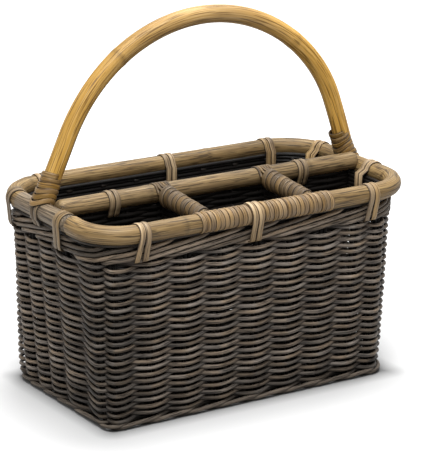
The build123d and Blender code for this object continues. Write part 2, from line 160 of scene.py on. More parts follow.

# %% [markdown]
# The paper is a pale sheet. Its own light grows with the distance from the caddy's foot, so it
# fades into the backdrop with no horizon, while the shadow close by stays. Right at the foot its
# colour is darker, a painted contact shadow. What it throws back onto the caddy is dimmer than
# what the camera sees, as if it ended just outside.

# %% Floor paper
foot_half_size = (0.1445, 0.0785, 0.0)
paper = bpy.data.materials.new("white_paper")
paper.use_nodes = True
tree = paper.node_tree
distance = node(tree, "TexCoord", {}).outputs["Object"]
for operation, inputs in (
    ("ABSOLUTE", {}), ("SUBTRACT", {1: foot_half_size}), ("MAXIMUM", {1: (0.0, 0.0, 0.0)})
):
    distance = node(tree, "VectorMath", {0: distance, **inputs}, operation=operation).outputs[0]
distance = node(tree, "VectorMath", {0: distance}, operation="LENGTH").outputs["Value"]


def distance_ramp(first, last, stops):
    """Greys that change with the distance from the caddy's foot."""
    ramp = node(tree, "ValToRGB", {"Fac": distance})
    elements = ramp.color_ramp.elements
    elements[0].color, elements[1].color = grey(first), grey(last)
    for at, level in stops:
        elements.new(at).color = grey(level)
    return ramp.outputs["Color"]


seen = shows_backdrop(tree)
# A painted contact shadow: the paper's colour darkens close to the caddy's foot.
painted_contact_shadow = distance_ramp(0.26, 0.62, ((0.005, 0.38), (0.02, 0.60)))
own_light = distance_ramp(0.0, 1.0, ((0.02, 0.18), (0.08, 0.40), (0.16, 0.44)))
shade = node(tree, "Mix", {0: seen, 6: grey(0.42), 7: painted_contact_shadow}, data_type="RGBA")
lift = node(tree, "Math", {0: seen, 1: own_light}, operation="MULTIPLY")
wire(tree, tree.nodes["Principled BSDF"], {
    "Base Color": shade.outputs[2],
    "Roughness": 0.9,
    "Specular IOR Level": 0.0,
    "Emission Color": grey(1.0),
    "Emission Strength": lift.outputs[0],
})
floor_mesh.materials.append(paper)
print("paper has", len(tree.nodes), "nodes")

# %% [markdown]
# ## Grain as a shared effect
# Rattan, cane and weavers come from one long-fibred vine. Their fibres run along the strand, so
# each carries an attribute named grain: metres along it, and two cross directions. The group below
# stretches noise along the fibres into streaks, short dark pores, broad clouds and a height.

# %% Fibre group
fibres = bpy.data.node_groups.new("fibres", "ShaderNodeTree")
fibres.interface.new_socket(name="Grain", in_out="INPUT", socket_type="NodeSocketVector")
for label in ("Along", "Across"):
    fibres.interface.new_socket(name=label, in_out="INPUT", socket_type="NodeSocketFloat")
for label in ("Streak", "Pores", "Cloud", "Height"):
    fibres.interface.new_socket(name=label, in_out="OUTPUT", socket_type="NodeSocketFloat")
entry = fibres.nodes.new("NodeGroupInput").outputs


def spread(tree, value, low, high, to_low=0.0, to_high=1.0):
    """Stretch a band of a value to another range."""
    limits = {"From Min": low, "From Max": high, "To Min": to_low, "To Max": to_high}
    return node(tree, "MapRange", {"Value": value, **limits}).outputs["Result"]


def stretched_noise(along_share, across_share, detail, roughness):
    """Noise drawn out along the fibres, as shares of the group's two scales."""
    along, across = (
        node(fibres, "Math", {0: entry[label], 1: share}, operation="MULTIPLY").outputs[0]
        for label, share in (("Along", along_share), ("Across", across_share))
    )
    scales = node(fibres, "CombineXYZ", {"X": along, "Y": across, "Z": across}).outputs[0]
    stretch = node(fibres, "VectorMath", {0: entry["Grain"], 1: scales}, operation="MULTIPLY")
    return node(fibres, "TexNoise", {
        "Vector": stretch.outputs[0], "Scale": 1.0, "Detail": detail, "Roughness": roughness,
    }).outputs["Fac"]


streak = spread(fibres, stretched_noise(1.0, 1.0, 3.0, 0.6), 0.38, 0.64)
pores = spread(fibres, stretched_noise(2.2, 1.0, 2.0, 0.5), 0.52, 0.61)
cloud = spread(fibres, stretched_noise(1.4, 0.12, 2.0, 0.5), 0.35, 0.65)
results = {"Streak": streak, "Pores": pores, "Cloud": cloud, "Height": streak}
wire(fibres, fibres.nodes.new("NodeGroupOutput"), results)
print("fibre group has", len(fibres.nodes), "nodes")

# %% [markdown]
# ## Finishes
# All finishes share one recipe: a body colour, a pale streak, a dark pore, and a painted shade
# where the surface is low. The attributes tone and warm make strands differ in lightness and in
# strength of colour. The attribute crown says how far a point stands out of the weave and faces
# up: raised places are rubbed pale, partly as real wear and partly as a painted highlight where
# they face up, and deep places get painted shade.

# %% Finish recipe
fibre_relief = 0.0004


def rattan_finish(
    name, body, pale, dark, along, across, roughness, wear_and_painted_light=None, bump=0.15, shine=0.3
):
    """A fibrous finish; woven strands get rubbed crowns with a painted highlight, and painted deep
    shade.
    """
    finish = bpy.data.materials.new(name)
    finish.use_nodes = True
    tree = finish.node_tree

    def attribute(label):
        return node(tree, "Attribute", {}, attribute_name=label).outputs

    def mix(first, second, factor):
        inputs = {0: factor, 6: first, 7: (*second, 1.0)}
        return node(tree, "Mix", inputs, data_type="RGBA").outputs[2]

    grain = {"Grain": attribute("grain")["Vector"], "Along": along, "Across": across}
    fibre = node(tree, "Group", grain, node_tree=fibres).outputs
    colour = mix((*body, 1.0), pale, spread(tree, fibre["Streak"], 0.35, 1.0, 0.0, 0.75))
    if wear_and_painted_light is not None:
        # Painted light and shade by crown: raised, upward places get a pale colour that is partly
        # real wear and partly a painted highlight; low places get painted shade.
        crown = attribute("crown")["Fac"]
        rubbed_and_highlight, deep_shade = wear_and_painted_light
        if rubbed_and_highlight is not None:
            colour = mix(colour, rubbed_and_highlight, spread(tree, crown, 0.1, 1.2, 0.0, 0.8))
        colour = mix(colour, deep_shade, spread(tree, crown, -0.6, 0.3, 0.95, 0.0))
    colour = mix(colour, dark, spread(tree, fibre["Pores"], 0.0, 1.0, 0.0, 0.85))
    colour = mix(colour, dark, spread(tree, fibre["Cloud"], 0.0, 1.0, 0.30, 0.0))
    varied = node(tree, "HueSaturation", {
        "Value": spread(tree, attribute("tone")["Fac"], 0.0, 1.0, 0.4, 1.6),
        "Saturation": spread(tree, attribute("warm")["Fac"], 0.0, 1.0, 0.4, 1.6),
        "Color": colour,
    })
    height = {"Strength": bump, "Distance": fibre_relief, "Height": fibre["Height"]}
    dull = spread(tree, fibre["Streak"], 0.0, 1.0, roughness + 0.12, roughness - 0.08)
    wire(tree, tree.nodes["Principled BSDF"], {
        "Base Color": varied.outputs["Color"],
        "Roughness": dull,
        "Specular IOR Level": shine,
        "Normal": node(tree, "Bump", height).outputs["Normal"],
    })
    return finish


handle_rattan = rattan_finish(
    "handle_rattan", (0.55, 0.330, 0.108), (0.70, 0.485, 0.220), (0.15, 0.078, 0.022),
    12.0, 900.0, 0.5,
)
rim_rattan = rattan_finish(
    "rim_rattan", (0.235, 0.153, 0.069), (0.42, 0.30, 0.148), (0.045, 0.028, 0.014),
    18.0, 900.0, 0.5,
)
# The second colour is painted shade in the grooves between turns and straps.
cane_pore, cane_gap_shade = (0.080, 0.049, 0.026), (0.012, 0.008, 0.005)
wound_cane = rattan_finish(
    "wound_cane", (0.275, 0.185, 0.098), (0.48, 0.35, 0.21), cane_pore,
    16.0, 900.0, 0.45, wear_and_painted_light=(None, cane_gap_shade),
)
lashing_cane = rattan_finish(
    "lashing_cane", (0.375, 0.255, 0.133), (0.58, 0.42, 0.23), cane_pore,
    16.0, 900.0, 0.45, wear_and_painted_light=(None, cane_gap_shade),
)
# The weavers' pale crown colour is partly real wear and partly a painted highlight on their upper
# sides; their deep colour is painted shade in the gaps.
weaver_stain = rattan_finish(
    "weaver_stain", (0.076, 0.061, 0.050), (0.155, 0.127, 0.103), (0.016, 0.012, 0.010),
    30.0, 1200.0, 0.5, wear_and_painted_light=((0.288, 0.233, 0.180), (0.006, 0.004, 0.003)), bump=0.35, shine=0.2,
)
# The inside of the caddy lies in shade; this near-black finish is painted shade on the partitions,
# the stakes and the base mat.
inner_painted_shade = rattan_finish(
    "inner_painted_shade", (0.011, 0.0085, 0.0072), (0.020, 0.016, 0.0135), (0.005, 0.004, 0.0035),
    30.0, 1500.0, 0.55, wear_and_painted_light=((0.024, 0.019, 0.0155), (0.0035, 0.003, 0.0025)), shine=0.10,
)
print("finishes:", [material.name for material in bpy.data.materials])

# %% [markdown]
# ## Sizes
# The main sizes, in metres, follow the solids, or the picture where that differs a little. The wall
# leans out as it rises and its corners open, so one function gives its middle at a height. The
# rim's half sizes, rim_l and rim_w, are those of its centreline.

# %% Sizes
rim_l, rim_w, rim_height, rim_corner = 0.162, 0.086, 0.175, 0.044
pole_radius = 0.008
rim_joint_y = -0.0362
middle_y, middle_height = -0.006, 0.180
divider_x = 0.054
handle_y, handle_radius, handle_height = 0.0103, 0.148, 0.327
wall_top, foot_height = 0.1652, 0.016
wall_middle = Vector((-0.0022, 0.0008, 0.0))
rightward, backward, upward = Matrix.Identity(3)


def wall_at(height):
    """Half length, half width and corner radii, from the back left one on, of the wall's middle."""
    share = height / wall_top
    foot = max(0.0, 1.0 - height / foot_height) ** 2
    half_length = 0.1427 + 0.0150 * share - 0.0005 * foot
    half_width = 0.0779 + 0.0038 * share - 0.0005 * foot
    back_left_bend = 0.0100 + 0.0230 * share + 0.0130 * foot
    front_left_bend = 0.0045 + 0.0285 * share
    right_bend = 0.0145 + 0.0260 * share
    return half_length, half_width, (back_left_bend, front_left_bend, right_bend, right_bend)


def ring_legs(height):
    """Lengths of the straights and corners round the wall, from the middle of the back."""
    half_length, half_width, bends = wall_at(height)
    legs = [half_length - bends[0]]
    for corner, bend in enumerate(bends):
        beyond = bends[corner + 1] if corner < 3 else 0.0
        straight = (2 * half_width, 2 * half_length, 2 * half_width, half_length)[corner]
        legs += [bend * math.pi / 2, straight - bend - beyond]
    return legs


def ring_point(share, height):
    """Where a share of the way round lies at a height, and the outward direction there."""
    half_length, half_width, bends = wall_at(height)
    legs = ring_legs(height)
    left = (share % 1.0) * sum(legs)
    leg = 0
    while left > legs[leg] and leg < 8:
        left -= legs[leg]
        leg += 1
    if leg % 2 == 1:
        angle = math.pi / 2 * ((leg + 1) // 2 + left / legs[leg])
        out = Vector((math.cos(angle), math.sin(angle), 0.0))
        bend = bends[leg // 2]
        bend_x = math.copysign(half_length - bend, out.x)
        bend_y = math.copysign(half_width - bend, out.y)
        spot = Vector((bend_x, bend_y, 0.0)) + out * bend
    else:
        (x, y), (out_x, out_y) = (
            ((-left, half_width), (0.0, 1.0)),
            ((-half_length, half_width - bends[0] - left), (-1.0, 0.0)),
            ((-half_length + bends[1] + left, -half_width), (0.0, -1.0)),
            ((half_length, -half_width + bends[2] + left), (1.0, 0.0)),
            ((half_length - bends[3] - left, half_width), (0.0, 1.0)),
        )[leg // 2]
        spot, out = Vector((x, y, 0.0)), Vector((out_x, out_y, 0.0))
    return spot + wall_middle + upward * height, out


# %% [markdown]
# ## Stake places
# The wall is woven round upright stakes. Along the front and the left their places were read from
# the picture; the back and the right are spaced much like them. They are kept as shares of the way
# round, so that a stake leans with the wall. Their number is even, so a plain weave closes, and a
# multiple of three, so a three-strand wale closes too.

# %% Stake places
back_left_places, back_right_places = (0.026, 0.060, 0.095, 0.122), (0.115, 0.080, 0.045, 0.008)
left_places = (0.0555, 0.0320, 0.0075, -0.0235)
front_places = (-0.1055, -0.0705, -0.0355, 0.001, 0.0355, 0.0695, 0.1040, 0.1300)
right_places = (-0.045, -0.017, 0.008, 0.031, 0.050)
middle_of_wall = wall_top / 2
legs = ring_legs(middle_of_wall)
starts = np.concatenate(([0.0], np.cumsum(legs)))
half_length, half_width, bends = wall_at(middle_of_wall)
distances = [*back_left_places, starts[1] + legs[1] * 0.45]
distances += [starts[2] + half_width - bends[0] - place for place in left_places]
distances += [starts[3] + legs[3] * 0.20, starts[3] + legs[3] * 0.68]
distances += [starts[4] + half_length - bends[1] + place for place in front_places]
distances += [starts[5] + legs[5] * 0.72]
distances += [starts[6] + legs[6] / 2 + place for place in right_places]
distances += [starts[7] + legs[7] * 0.5]
distances += [starts[8] + legs[8] - place for place in back_right_places]
stake_shares = [float(distance / starts[-1]) for distance in distances]
next_shares = stake_shares[1:] + [stake_shares[0] + 1.0]
stake_gaps = [after - before for before, after in zip(stake_shares, next_shares)]
print(len(stake_shares), "stakes")

# %% [markdown]
# ## Round strands
# A weaver is a long thin round rod, swept as a curve with a round bevel and a radius at each point.
# The curve is turned into a mesh, its open ends are closed, and the attributes that the finishes
# read are written on its points.

# %% Strand helper


class Strand:
    """Points of one rod, with a radius, a tone and a crown measured from a middle surface."""

    def __init__(self, tone, closed=False):
        self.points, self.radii, self.middles, self.outs = [], [], [], []
        self.tones, self.warms = [], []
        self.tone, self.closed = tone, closed
        self.offset = chance.uniform(0.0, 9.0)

    def add(self, point, radius, middle=None, out=(0.0, 0.0, 0.0), tone=None, warm=0.5):
        self.points.append(tuple(point))
        self.radii.append(radius)
        self.middles.append(tuple(point if middle is None else middle))
        self.outs.append(tuple(out))
        self.tones.append(self.tone if tone is None else tone)
        self.warms.append(warm)


def close_and_smooth(shape, is_smooth):
    """Fill the open ends of a shape, turn its faces outward and shade the chosen ones smooth."""
    ends = [edge for edge in shape.edges if edge.is_boundary]
    bmesh.ops.holes_fill(shape, edges=ends, sides=0)
    bmesh.ops.recalc_face_normals(shape, faces=shape.faces)
    for face in shape.faces:
        face.smooth = is_smooth(face)


def strand_mesh(name, strands, bevel=2, crown_depth=0.0052):
    """Sweep strands into one mesh and write their grain, tone and crown."""
    curve = bpy.data.curves.new(name, "CURVE")
    curve.dimensions = "3D"
    curve.bevel_depth = 1.0
    curve.bevel_resolution = bevel
    for strand in strands:
        spline = curve.splines.new("POLY")
        spline.points.add(len(strand.points) - 1)
        corners = np.c_[strand.points, np.ones(len(strand.points))]
        spline.points.foreach_set("co", corners.ravel())
        spline.points.foreach_set("radius", strand.radii)
        spline.use_cyclic_u = strand.closed
        spline.use_smooth = True
    holder = bpy.data.objects.new(name + "_path", curve)
    mesh = bpy.data.meshes.new_from_object(holder)
    bpy.data.objects.remove(holder)
    bpy.data.curves.remove(curve)
    mesh.name = name

    def gathered(label):
        return np.concatenate([np.array(getattr(strand, label)) for strand in strands])

    def write(label, kind, field, values):
        mesh.attributes.new(label, kind, "POINT").data.foreach_set(field, values.ravel())

    centres, radii = gathered("points"), gathered("radii")
    count = len(centres)
    ring = len(mesh.vertices) // count
    places = np.zeros(len(mesh.vertices) * 3)
    mesh.vertices.foreach_get("co", places)
    places = places.reshape(count, ring, 3)
    along = []
    for strand in strands:
        steps = np.linalg.norm(np.diff(np.array(strand.points), axis=0), axis=1)
        along.append(np.concatenate(([0.0], np.cumsum(steps))) + strand.offset)
    angles = np.arange(ring) * 2 * math.pi / ring
    grain = np.zeros((count, ring, 3))
    grain[:, :, 0] = np.concatenate(along)[:, None]
    grain[:, :, 1] = radii[:, None] * np.cos(angles)
    grain[:, :, 2] = radii[:, None] * np.sin(angles)
    write("grain", "FLOAT_VECTOR", "vector", grain)
    for label in ("tone", "warm"):
        write(label, "FLOAT", "value", np.repeat(gathered(label + "s"), ring))
    from_middle = places - gathered("middles")[:, None, :]
    crown = (from_middle * gathered("outs")[:, None, :]).sum(axis=2) / crown_depth
    # The crown also rises where a point faces up and falls where it faces down, which paints a
    # highlight on the rods' upper sides and shade on their lower ones.
    crown += 0.30 * (places[:, :, 2] - centres[:, None, 2]) / radii[:, None]
    write("crown", "FLOAT", "value", crown)
    shape = bmesh.new()
    shape.from_mesh(mesh)
    close_and_smooth(shape, lambda face: True)
    shape.to_mesh(mesh)
    shape.free()
    return mesh


def place_piece(name, mesh, finish, slot, *replaced):
    """Put a finished mesh into the scene, in place of the solids that it dresses."""
    piece = bpy.data.objects.new(name, mesh)
    scene.collection.objects.link(piece)
    mesh.materials.append(finish)
    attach(piece, "root")
    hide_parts(*replaced)
    triangles = sum(len(polygon.vertices) - 2 for polygon in mesh.polygons)
    print(name, triangles, "triangles")


def place_strands(name, strands, finish, slot, *replaced, **sweep):
    """Sweep strands and put them into the scene as one piece."""
    place_piece(name, strand_mesh(name, strands, **sweep), finish, slot, *replaced)


# %% [markdown]
# ## Wall weaving
# Each row goes in front of one stake and behind the next, and the row above does the opposite. Seen
# from above, a row is a wave about the wall's middle. Rows nest and lie closer than a rod is thick,
# so a rod is a little slimmer at its crests than where it crosses the middle. Small chances in
# height, swing and tone keep it from looking machine-made, and somewhere in each row a new rod
# begins with another tone. The weave is darker towards the foot and lighter towards the top; at the
# front left corner it carries painted shade, and towards the back left one painted light.

# %% Wall weaving
weave_rows, weave_low, weave_high = 48, 0.0093, 0.1472
weave_swing, inner_share, weave_sag, rod_radius = 0.0043, 0.82, 0.0010, 0.00170
steps_between = 8
row_pitch = (weave_high - weave_low) / (weave_rows - 1)
front_left_edge, back_left_edge = Vector((-0.150, -0.079)), Vector((-0.150, 0.079))


def hump(distance, width):
    """One at no distance, and less and less beyond a width."""
    return math.exp(-((distance / width) ** 2))


def painted_corner_shading(spot):
    """Painted shade near the front left corner and painted light towards the back left one, at a
    place.
    """
    painted_front_left_shade = hump((spot.xy - front_left_edge).length, 0.034)
    tone_mark = hump((spot.xy - back_left_edge).length, 0.072)
    return 0.50 * tone_mark - 0.48 * painted_front_left_shade


wall_strands = []
for row in range(weave_rows):
    tone = chance.uniform(0.25, 0.75)
    strand = Strand(tone, closed=True)
    row_height = weave_low + row * row_pitch + chance.uniform(-0.0002, 0.0002)
    thick = rod_radius * chance.uniform(0.95, 1.05)
    lifts = [chance.uniform(-0.00026, 0.00026) for _ in stake_shares]
    reaches = [chance.uniform(0.9, 1.08) for _ in stake_shares]
    new_rod = chance.randrange(len(stake_shares))
    # Rows are darker towards the foot and lighter towards the top.
    height_shift, foot_darkening = 0.12 * (row / weave_rows - 0.5), 0.28 * math.exp(-row / 5.0)
    for stake, (share, gap) in enumerate(zip(stake_shares, stake_gaps)):
        side = 1.0 if (stake + row) % 2 == 0 else -1.0
        after = (stake + 1) % len(stake_shares)
        warm = 0.5 + 0.22 * math.sin(5.0 * row + 1.7 * stake)
        if stake == new_rod:
            tone = min(1.0, max(0.0, tone + chance.uniform(-0.3, 0.3)))
        for step in range(steps_between):
            way = step / steps_between
            wave = side * math.cos(math.pi * way)
            reach = reaches[stake] + (reaches[after] - reaches[stake]) * way
            height = row_height + lifts[stake] + (lifts[after] - lifts[stake]) * way
            middle, out = ring_point(share + gap * way, height - weave_sag * wave)
            radius = thick * (1.04 - 0.04 * abs(wave))
            depth = weave_swing if wave > 0 else weave_swing * inner_share
            patch = tone + 0.2 * math.sin(9.0 * row + 2.3 * stake + 1.1 * way)
            # Darker towards the foot, lighter towards the top, with painted shade at the front left
            # corner and painted light towards the back left one.
            patch += height_shift - foot_darkening + painted_corner_shading(middle)
            strand.add(middle + out * (wave * reach * depth), radius, middle, out, patch, warm)
    wall_strands.append(strand)
place_strands(
    "wall_weavers", wall_strands, weaver_stain, "weave",
    "front_weavers", "back_weavers", "left_weavers", "right_weavers",
    "front_left_corner_weavers", "front_right_corner_weavers",
    "back_left_corner_weavers", "back_right_corner_weavers", crown_depth=0.0060,
)

# %% [markdown]
# ## Border under the rim
# At the top the rods are turned into a border. One rod leaves each stake low down, climbs in front
# of the next three and is tucked in again under the rim, so from outside the band is long strokes
# that rise to the right. Plain rods behind them close the band on the inside.

# %% Border
border_low, border_high, border_gaps = 0.1490, 0.1664, 4
border_swing, border_radius, border_tuck = 0.0046, 0.00188, 0.75
closed_steps, closed_radius, closed_inset = 160, 0.0019, 0.0036


def closed_rod(tone, height, inset, tilt=(0.0, 0.0)):
    """A plain rod once round the wall, set in from its middle, on some sides more than others."""
    strand = Strand(tone, closed=True)
    for step in range(closed_steps):
        middle, out = ring_point(step / closed_steps, height)
        reach = inset + tilt[0] * out.x + tilt[1] * out.y
        strand.add(middle - out * reach, closed_radius, middle, out)
    return strand


border_rods = []
for first in range(len(stake_shares)):
    strand = Strand(chance.uniform(0.20, 1.10))
    warm = chance.uniform(0.3, 0.8)
    for number in range(border_gaps):
        stake = (first + number) % len(stake_shares)
        for step in range(steps_between + (number == border_gaps - 1)):
            gone = number + step / steps_between
            ends = min(1.0, gone / border_tuck, (border_gaps - gone) / border_tuck)
            depth = -border_swing * math.cos(math.pi * ends)
            height = border_low + (border_high - border_low) * (gone / border_gaps) ** 1.25
            share = stake_shares[stake] + stake_gaps[stake] * step / steps_between
            middle, out = ring_point(share, height)
            # The border carries the same painted shade and light at the left corners.
            tone = strand.tone + painted_corner_shading(middle)
            strand.add(middle + out * depth, border_radius, middle, out, tone, warm)
    border_rods.append(strand)
# The plain rods behind the strokes have the lowest tone: painted shade behind the band.
for height in (0.1500, 0.1532, 0.1566, 0.1600, 0.1634, 0.1668):
    border_rods.append(closed_rod(0.0, height, closed_inset))
border_rods.append(closed_rod(0.0, 0.1698, 0.0044, wall_middle))
border_rods += [closed_rod(0.0, 0.1655, inset) for inset in (0.0, -0.0030)]
place_strands("border_rods", border_rods, weaver_stain, "weave", "top_wale", crown_depth=0.0065)

# %% [markdown]
# ## Wale round the foot
# At the foot three rods travel together, each in front of two stakes and behind one, each climbing
# over the next. This rope carries the caddy. Three plain rods lie inside it.

# %% Foot wale
wale_height, wale_climb, wale_radius, wale_swing = 0.0044, 0.0025, 0.0019, 0.0046
foot_rods = []
for rod in range(3):
    strand = Strand(chance.uniform(0.12, 0.42), closed=True)
    thick = wale_radius * chance.uniform(0.95, 1.05)
    for stake, (share, gap) in enumerate(zip(stake_shares, stake_gaps)):
        for step in range(steps_between):
            passed = (stake - rod) % 3 + step / steps_between
            behind = math.cos(2 * math.pi * passed / 3.0) - 0.25
            side = -math.copysign(min(1.0, abs(behind) * 1.25), behind)
            if 0.5 <= passed <= 2.5:
                slope = passed - 1.5
            else:
                slope = (1.5 - 3.0 * ((passed + 0.5) % 3.0)) / 1.5
            height = wale_height + wale_climb * max(-1.0, min(1.0, slope))
            middle, out = ring_point(share + gap * step / steps_between, height)
            strand.add(middle + out * (side * wale_swing), thick, middle, out)
    foot_rods.append(strand)
foot_rods += [closed_rod(0.2, height, 0.0040) for height in (0.0050, 0.0085, 0.0125)]
place_strands("base_wale_rods", foot_rods, weaver_stain, "weave", "base_wale", crown_depth=0.0065)

# %% [markdown]
# ## Stakes
# The stakes stand in pairs inside the weaving. They show only as dark uprights between the rows.

# %% Stakes
stake_radius, stake_apart = 0.0019, 0.0021
stake_strands = []
for share in stake_shares:
    for beside in (-stake_apart, stake_apart):
        strand = Strand(chance.uniform(0.3, 0.6))
        for height in (0.003, 0.06, 0.12, 0.1655):
            middle, _ = ring_point(share + beside / sum(ring_legs(height)), height)
            strand.add(middle, stake_radius)
        stake_strands.append(strand)
place_strands(
    "wall_stakes", stake_strands, inner_painted_shade, "stake",
    "front_stakes", "back_stakes", "left_stakes", "right_stakes", "corner_stakes",
)

# %% [markdown]
# ## Partitions
# The bays are parted by the same weaving: one long partition under the middle rail and two short
# ones under the divider rails.

# %% Partitions
partition_swing, partition_radius = 0.0019, 0.00205
partition_low, partition_foot, partition_inset = 0.0165, 0.013, 0.0062


def woven_rod(stops, levels, heights, out, swing, radius, steps=6):
    """A rod from stop to stop, on the side of the middle that the level at each stop gives."""
    strand = Strand(chance.uniform(0.3, 0.7))
    for number, (before, after) in enumerate(zip(stops, stops[1:])):
        here, there = levels[number : number + 2]
        for step in range(steps + (number == len(stops) - 2)):
            way = step / steps
            wave = here + (there - here) * (0.5 - 0.5 * math.cos(math.pi * way))
            middle = before + (after - before) * way
            middle.z = heights[number]
            strand.add(middle + out * (wave * swing), radius, middle, out)
    return strand


def straight_weave(start, end, out, places, high):
    """Plain rows between two ends that may change with height, past stakes at given places."""
    rows = []
    count = round((high - partition_low) / row_pitch) + 1
    for row, height in enumerate(np.linspace(partition_low, high, count)):
        stops = [start(height), *places, end(height)]
        levels = [0.0, *((-1.0) ** (number + row + 1) for number in range(len(places))), 0.0]
        heights = [height + 0.0003 * math.sin(row + 2.0 * number) for number in range(len(stops))]
        rows.append(woven_rod(stops, levels, heights, out, partition_swing, partition_radius))
    return rows


def upright_pairs(places, beside, high):
    """Pairs of stakes that stand at given places."""
    uprights = []
    for place in places:
        for shift in (beside, -beside):
            strand = Strand(chance.uniform(0.3, 0.6))
            for height in (partition_foot, (partition_foot + high) / 2, high):
                strand.add(Vector((place.x, place.y, height)) + shift, stake_radius)
            uprights.append(strand)
    return uprights


def long_end(side, height):
    """Where the long partition meets the wall."""
    reach = side * (wall_at(height)[0] - partition_inset)
    return Vector((wall_middle.x + reach, middle_y, 0.0))


long_places = [Vector((-0.126 + 0.036 * number, middle_y, 0.0)) for number in range(8)]
long_rows = straight_weave(
    lambda height: long_end(-1, height), lambda height: long_end(1, height),
    backward, long_places, 0.1710,
)
place_strands(
    "long_partition", long_rows, inner_painted_shade, "inner_weave", "middle_partition_weavers"
)
pairs = upright_pairs(long_places, rightward * stake_radius, 0.1735)
place_strands("long_partition_stakes", pairs, inner_painted_shade, "stake", "middle_partition_stakes")

for side, name in ((-1, "left_partition"), (1, "right_partition")):
    at_x = side * divider_x
    short_places = [Vector((at_x, y, 0.0)) for y in (-0.055, -0.031)]
    short_rows = straight_weave(
        lambda height: Vector((at_x, -(wall_at(height)[1] - partition_inset), 0.0)),
        lambda height: Vector((at_x, middle_y - partition_inset, 0.0)),
        rightward, short_places, 0.1655,
    )
    place_strands(name, short_rows, inner_painted_shade, "inner_weave", name + "_weavers")
    pairs = upright_pairs(short_places, backward * stake_radius, 0.1665)
    place_strands(name + "_uprights", pairs, inner_painted_shade, "stake", name + "_stakes")

# %% [markdown]
# ## Base
# The floor of the caddy is a mat: long sticks with thin rods woven across them.

# %% Base
mat_height, mat_swing, mat_rod_radius = 0.0082, 0.0039, 0.00172
stick_half_length, stick_radius = 0.1375, 0.0025
stick_places = [-0.063 + 0.021 * number for number in range(7)]
sticks = []
for y in stick_places:
    strand = Strand(0.5)
    for x in (-stick_half_length, 0.0, stick_half_length):
        strand.add((x, y, mat_height), stick_radius)
    sticks.append(strand)
place_strands("base_mat_sticks", sticks, inner_painted_shade, "inner_weave", "base_sticks")
cross_rods = []
for number in range(83):
    x = -0.1353 + number * 0.0033
    reach = 0.0745 if abs(x) < 0.130 else 0.0700
    stops = [Vector((x, y, 0.0)) for y in (-reach, *stick_places, reach)]
    levels = [(-1.0) ** (number + stick) for stick in (1, 1, 2, 3, 4, 5, 6, 7, 7)]
    heights = [mat_height] * len(stops)
    cross_rods.append(woven_rod(stops, levels, heights, upward, mat_swing, mat_rod_radius, 5))
place_strands("base_mat_rods", cross_rods, inner_painted_shade, "inner_weave", "base_weavers", bevel=1)

# %% [markdown]
# ## Poles
# The rim, the rails and the handle are rattan poles. A vine has nodes where its leaves grew: slight
# swellings, which also change the tone. The rim's two ends are butted on the left, behind the front
# corner, and their cut edges are rounded.

# %% Poles
node_length, node_swell, node_mark, node_dark = 0.0035, 0.035, 0.0022, 0.28
end_rounding, end_taper, end_mark, end_dark = 0.0036, 0.30, 0.0016, 0.35
butt_length = 0.025
front_left, back_left = 0.035, 0.038


def pole_strand(
    path, radius, node_places, tone=0.5, butt=0.0,
    warm=lambda share: 0.5, shade=lambda share: 0.0,
):
    """A pole along closely spaced points, with swellings at some distances and rounded ends.

    Its first end may be a thicker butt. Warmth and a shift of tone follow the share of the way.
    """
    strand = Strand(tone)
    travelled = 0.0
    total = sum((after - before).length for before, after in zip(path, path[1:]))
    for number, point in enumerate(path):
        if number:
            travelled += (point - path[number - 1]).length
        swell = node_swell * sum(hump(travelled - at, node_length) for at in node_places)
        swell += butt * hump(travelled, butt_length)
        swell = 1.0 + 0.012 * math.sin(31.0 * travelled + tone * 9.0) + swell
        from_end = min(travelled, total - travelled)
        rounded = end_taper * max(0.0, 1.0 - from_end / end_rounding) ** 2
        thick = radius * swell * (1.0 - rounded)
        drift = 0.08 * math.sin(17.0 * travelled + 3.0 * tone) + 0.05 * math.sin(53.0 * travelled)
        share = travelled / total
        tone_mark = node_dark * sum(hump(travelled - at, node_mark) for at in node_places)
        tone_mark += end_dark * hump(from_end, end_mark)
        shown = tone + (drift + shade(share)) - tone_mark
        strand.add(point, thick, tone=shown, warm=warm(share))
    return strand


def dense_line(start, end, spacing=0.003):
    """Evenly spaced points on a straight run, with extra ones close to its ends."""
    start, end = Vector(start), Vector(end)
    length = (end - start).length
    count = max(2, int(length / spacing))
    shares = [number / count for number in range(count + 1)]
    extra = [0.0005 / length, 0.0012 / length]
    shares = sorted(set(shares + extra + [1.0 - share for share in extra]))
    return [start.lerp(end, share) for share in shares]


in_l, in_w = rim_l - rim_corner, rim_w - rim_corner
rim_path, reached = [], (-rim_l, rim_joint_y, rim_height)
for x, y, radius, quarter in (
    (front_left - rim_l, front_left - rim_w, front_left, 2),
    (in_l, -in_w, rim_corner, 3),
    (in_l, in_w, rim_corner, 0),
    (back_left - rim_l, rim_w - back_left, back_left, 1),
):
    angles = [quarter * math.pi / 2 + math.pi / 2 * number / 16 for number in range(17)]
    bend = [(x + radius * math.cos(a), y + radius * math.sin(a), rim_height) for a in angles]
    rim_path += dense_line(reached, bend[0]) + [Vector(point) for point in bend[1:-1]]
    reached = bend[-1]
rim_path += dense_line(reached, (-rim_l, rim_joint_y + 0.0005, rim_height))
rim_strand = pole_strand(
    rim_path, pole_radius, (0.115, 0.37, 0.60, 0.79), tone=0.53, butt=0.12,
    warm=lambda share: 0.28 if share > 0.9115 else 0.55,
)
place_strands("rim", [rim_strand], rim_rattan, "rim", "rim_pole", bevel=6)

rail_path = dense_line((-0.1572, middle_y, middle_height), (0.1572, middle_y, middle_height))
rail_strand = pole_strand(rail_path, pole_radius, (0.09, 0.26), tone=0.52)
place_strands("rail", [rail_strand], rim_rattan, "rim", "middle_rail", bevel=6)

